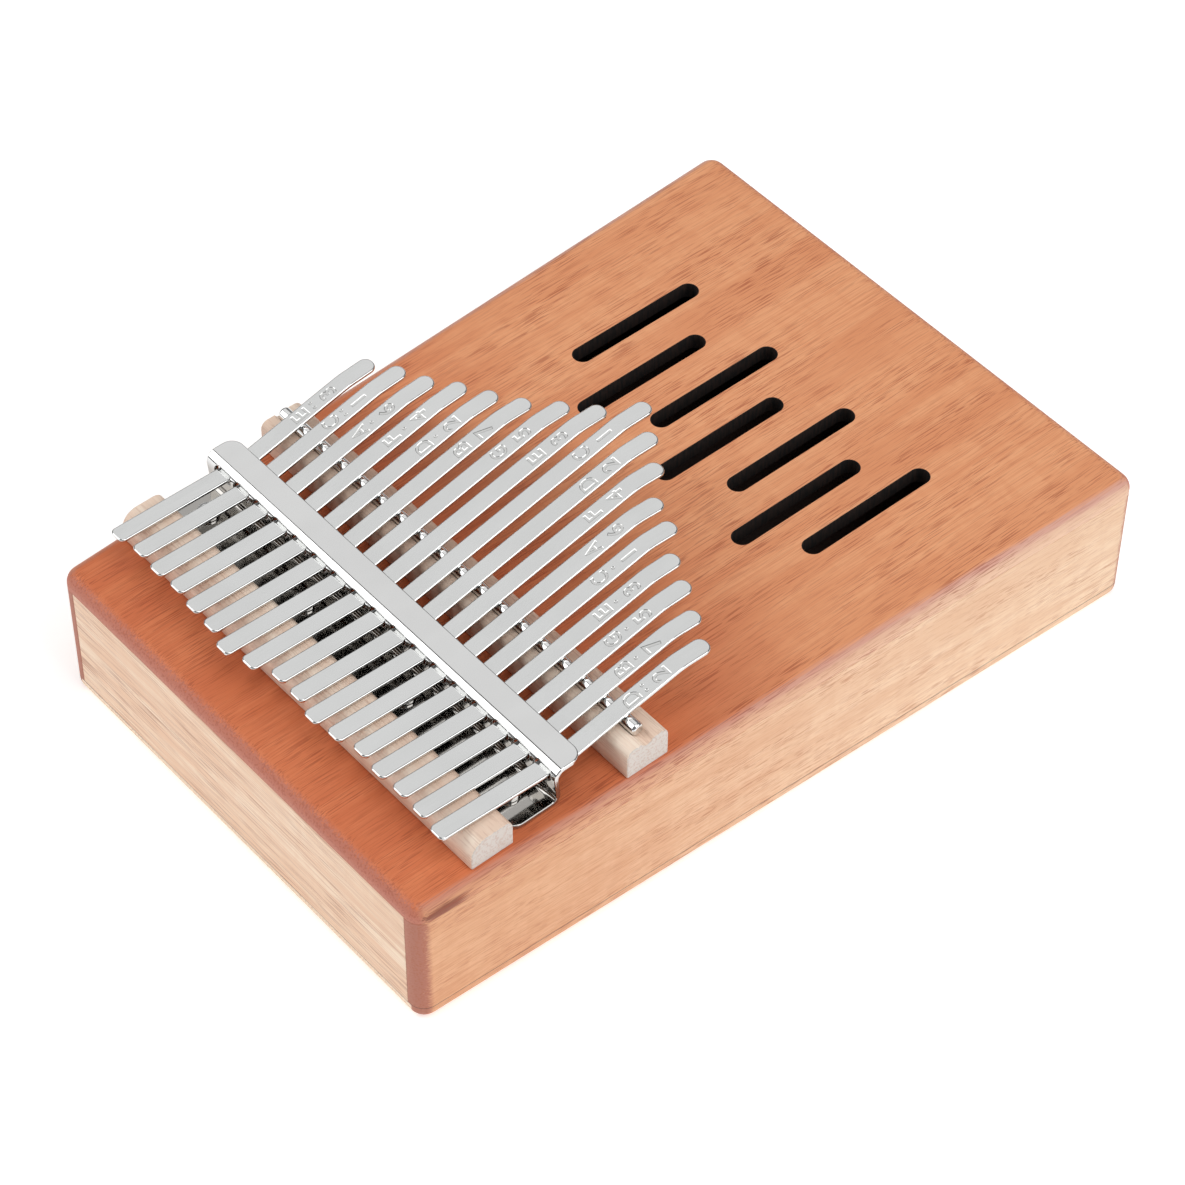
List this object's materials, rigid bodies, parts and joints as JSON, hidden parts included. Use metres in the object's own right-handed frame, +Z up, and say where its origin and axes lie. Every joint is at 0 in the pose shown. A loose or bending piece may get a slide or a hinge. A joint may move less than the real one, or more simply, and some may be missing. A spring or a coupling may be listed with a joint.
{
  "type": "mbira",
  "caption": "Box-resonator thumb piano: graded flat steel tines pass under a slotted bracket and over a rod on a wooden bridge, on a tapered wooden sound box with staggered slots.",
  "frame": {"origin": "middle of the sound box's underside, half way along the box", "axes": "+Z up out of the soundboard; +Y along the tines, from their tuning ends to the sound slots; +X to the right when looking along +Y"},
  "size_m": [0.1322, 0.185, 0.0558],
  "materials": {
    "soundboard_wood": "satin orange-red mahogany, grain along Y",
    "side_wood": "satin light mahogany",
    "bridge_wood": "unvarnished pale hardwood",
    "plated_steel": "bright nickel plating",
    "tine_steel": "smooth polished spring steel",
    "rod_steel": "smooth ground rod",
    "screw_steel": "plated pan-head screws"
  },
  "bodies": {
    "box": {"top_board": "soundboard_wood", "back_board": "side_wood", "side_left": "side_wood", "side_right": "side_wood", "end_rear": "side_wood", "end_front": "side_wood", "screw_block": "bridge_wood", "rear_bridge": "bridge_wood", "front_bridge": "bridge_wood", "saddle_rod": "rod_steel", "bracket": "plated_steel", "bracket_screw_1": "screw_steel", "bracket_screw_2": "screw_steel", "bracket_screw_3": "screw_steel", "bracket_screw_4": "screw_steel"},
    "tine_01": {"tine_01_held": "tine_steel"},
    "tine_01_free": {"tine_01_play": "tine_steel"},
    "tine_02": {"tine_02_held": "tine_steel"},
    "tine_02_free": {"tine_02_play": "tine_steel"},
    "tine_03": {"tine_03_held": "tine_steel"},
    "tine_03_free": {"tine_03_play": "tine_steel"},
    "tine_04": {"tine_04_held": "tine_steel"},
    "tine_04_free": {"tine_04_play": "tine_steel"},
    "tine_05": {"tine_05_held": "tine_steel"},
    "tine_05_free": {"tine_05_play": "tine_steel"},
    "tine_06": {"tine_06_held": "tine_steel"},
    "tine_06_free": {"tine_06_play": "tine_steel"},
    "tine_07": {"tine_07_held": "tine_steel"},
    "tine_07_free": {"tine_07_play": "tine_steel"},
    "tine_08": {"tine_08_held": "tine_steel"},
    "tine_08_free": {"tine_08_play": "tine_steel"},
    "tine_09": {"tine_09_held": "tine_steel"},
    "tine_09_free": {"tine_09_play": "tine_steel"},
    "tine_10": {"tine_10_held": "tine_steel"},
    "tine_10_free": {"tine_10_play": "tine_steel"},
    "tine_11": {"tine_11_held": "tine_steel"},
    "tine_11_free": {"tine_11_play": "tine_steel"},
    "tine_12": {"tine_12_held": "tine_steel"},
    "tine_12_free": {"tine_12_play": "tine_steel"},
    "tine_13": {"tine_13_held": "tine_steel"},
    "tine_13_free": {"tine_13_play": "tine_steel"},
    "tine_14": {"tine_14_held": "tine_steel"},
    "tine_14_free": {"tine_14_play": "tine_steel"},
    "tine_15": {"tine_15_held": "tine_steel"},
    "tine_15_free": {"tine_15_play": "tine_steel"},
    "tine_16": {"tine_16_held": "tine_steel"},
    "tine_16_free": {"tine_16_play": "tine_steel"},
    "tine_17": {"tine_17_held": "tine_steel"},
    "tine_17_free": {"tine_17_play": "tine_steel"}
  },
  "joints": [
    {"name": "tune_01", "type": "slide", "parent": "box", "child": "tine_01", "axis": [0, 0.995, 0.0995], "range_m": [-0.0015, 0.0015]},
    {"name": "pluck_01", "type": "hinge", "parent": "tine_01", "child": "tine_01_free", "pos_m": [-0.05152, -0.0353, 0.04548], "axis": [1, 0, 0], "range_deg": [-4, 3], "stiffness_Nm_per_rad": 11.1},
    {"name": "tune_02", "type": "slide", "parent": "box", "child": "tine_02", "axis": [0, 0.995, 0.0995], "range_m": [-0.0015, 0.0015]},
    {"name": "pluck_02", "type": "hinge", "parent": "tine_02", "child": "tine_02_free", "pos_m": [-0.04516, -0.0353, 0.04548], "axis": [1, 0, 0], "range_deg": [-4, 3], "stiffness_Nm_per_rad": 9.5},
    {"name": "tune_03", "type": "slide", "parent": "box", "child": "tine_03", "axis": [0, 0.995, 0.0995], "range_m": [-0.0015, 0.0015]},
    {"name": "pluck_03", "type": "hinge", "parent": "tine_03", "child": "tine_03_free", "pos_m": [-0.03879, -0.0353, 0.04548], "axis": [1, 0, 0], "range_deg": [-4, 3], "stiffness_Nm_per_rad": 8.6},
    {"name": "tune_04", "type": "slide", "parent": "box", "child": "tine_04", "axis": [0, 0.995, 0.0995], "range_m": [-0.0015, 0.0015]},
    {"name": "pluck_04", "type": "hinge", "parent": "tine_04", "child": "tine_04_free", "pos_m": [-0.03243, -0.0353, 0.04548], "axis": [1, 0, 0], "range_deg": [-4, 3], "stiffness_Nm_per_rad": 7.6},
    {"name": "tune_05", "type": "slide", "parent": "box", "child": "tine_05", "axis": [0, 0.995, 0.0995], "range_m": [-0.0015, 0.0015]},
    {"name": "pluck_05", "type": "hinge", "parent": "tine_05", "child": "tine_05_free", "pos_m": [-0.02606, -0.0353, 0.04548], "axis": [1, 0, 0], "range_deg": [-4, 3], "stiffness_Nm_per_rad": 6.9},
    {"name": "tune_06", "type": "slide", "parent": "box", "child": "tine_06", "axis": [0, 0.995, 0.0995], "range_m": [-0.0015, 0.0015]},
    {"name": "pluck_06", "type": "hinge", "parent": "tine_06", "child": "tine_06_free", "pos_m": [-0.0197, -0.0353, 0.04548], "axis": [1, 0, 0], "range_deg": [-4, 3], "stiffness_Nm_per_rad": 6.2},
    {"name": "tune_07", "type": "slide", "parent": "box", "child": "tine_07", "axis": [0, 0.995, 0.0995], "range_m": [-0.0015, 0.0015]},
    {"name": "pluck_07", "type": "hinge", "parent": "tine_07", "child": "tine_07_free", "pos_m": [-0.01333, -0.0353, 0.04548], "axis": [1, 0, 0], "range_deg": [-4, 3], "stiffness_Nm_per_rad": 5.5},
    {"name": "tune_08", "type": "slide", "parent": "box", "child": "tine_08", "axis": [0, 0.995, 0.0995], "range_m": [-0.0015, 0.0015]},
    {"name": "pluck_08", "type": "hinge", "parent": "tine_08", "child": "tine_08_free", "pos_m": [-0.00697, -0.0353, 0.04548], "axis": [1, 0, 0], "range_deg": [-4, 3], "stiffness_Nm_per_rad": 4.9},
    {"name": "tune_09", "type": "slide", "parent": "box", "child": "tine_09", "axis": [0, 0.995, 0.0995], "range_m": [-0.0015, 0.0015]},
    {"name": "pluck_09", "type": "hinge", "parent": "tine_09", "child": "tine_09_free", "pos_m": [-0.0006, -0.0353, 0.04548], "axis": [1, 0, 0], "range_deg": [-4, 3], "stiffness_Nm_per_rad": 4.3},
    {"name": "tune_10", "type": "slide", "parent": "box", "child": "tine_10", "axis": [0, 0.995, 0.0995], "range_m": [-0.0015, 0.0015]},
    {"name": "pluck_10", "type": "hinge", "parent": "tine_10", "child": "tine_10_free", "pos_m": [0.00577, -0.0353, 0.04548], "axis": [1, 0, 0], "range_deg": [-4, 3], "stiffness_Nm_per_rad": 4.7},
    {"name": "tune_11", "type": "slide", "parent": "box", "child": "tine_11", "axis": [0, 0.995, 0.0995], "range_m": [-0.0015, 0.0015]},
    {"name": "pluck_11", "type": "hinge", "parent": "tine_11", "child": "tine_11_free", "pos_m": [0.01213, -0.0353, 0.04548], "axis": [1, 0, 0], "range_deg": [-4, 3], "stiffness_Nm_per_rad": 5.1},
    {"name": "tune_12", "type": "slide", "parent": "box", "child": "tine_12", "axis": [0, 0.995, 0.0995], "range_m": [-0.0015, 0.0015]},
    {"name": "pluck_12", "type": "hinge", "parent": "tine_12", "child": "tine_12_free", "pos_m": [0.0185, -0.0353, 0.04548], "axis": [1, 0, 0], "range_deg": [-4, 3], "stiffness_Nm_per_rad": 5.8},
    {"name": "tune_13", "type": "slide", "parent": "box", "child": "tine_13", "axis": [0, 0.995, 0.0995], "range_m": [-0.0015, 0.0015]},
    {"name": "pluck_13", "type": "hinge", "parent": "tine_13", "child": "tine_13_free", "pos_m": [0.02486, -0.0353, 0.04548], "axis": [1, 0, 0], "range_deg": [-4, 3], "stiffness_Nm_per_rad": 6.2},
    {"name": "tune_14", "type": "slide", "parent": "box", "child": "tine_14", "axis": [0, 0.995, 0.0995], "range_m": [-0.0015, 0.0015]},
    {"name": "pluck_14", "type": "hinge", "parent": "tine_14", "child": "tine_14_free", "pos_m": [0.03123, -0.0353, 0.04548], "axis": [1, 0, 0], "range_deg": [-4, 3], "stiffness_Nm_per_rad": 7.1},
    {"name": "tune_15", "type": "slide", "parent": "box", "child": "tine_15", "axis": [0, 0.995, 0.0995], "range_m": [-0.0015, 0.0015]},
    {"name": "pluck_15", "type": "hinge", "parent": "tine_15", "child": "tine_15_free", "pos_m": [0.03759, -0.0353, 0.04548], "axis": [1, 0, 0], "range_deg": [-4, 3], "stiffness_Nm_per_rad": 7.8},
    {"name": "tune_16", "type": "slide", "parent": "box", "child": "tine_16", "axis": [0, 0.995, 0.0995], "range_m": [-0.0015, 0.0015]},
    {"name": "pluck_16", "type": "hinge", "parent": "tine_16", "child": "tine_16_free", "pos_m": [0.04396, -0.0353, 0.04548], "axis": [1, 0, 0], "range_deg": [-4, 3], "stiffness_Nm_per_rad": 8.8},
    {"name": "tune_17", "type": "slide", "parent": "box", "child": "tine_17", "axis": [0, 0.995, 0.0995], "range_m": [-0.0015, 0.0015]},
    {"name": "pluck_17", "type": "hinge", "parent": "tine_17", "child": "tine_17_free", "pos_m": [0.05032, -0.0353, 0.04548], "axis": [1, 0, 0], "range_deg": [-4, 3], "stiffness_Nm_per_rad": 10.1}
  ]
}
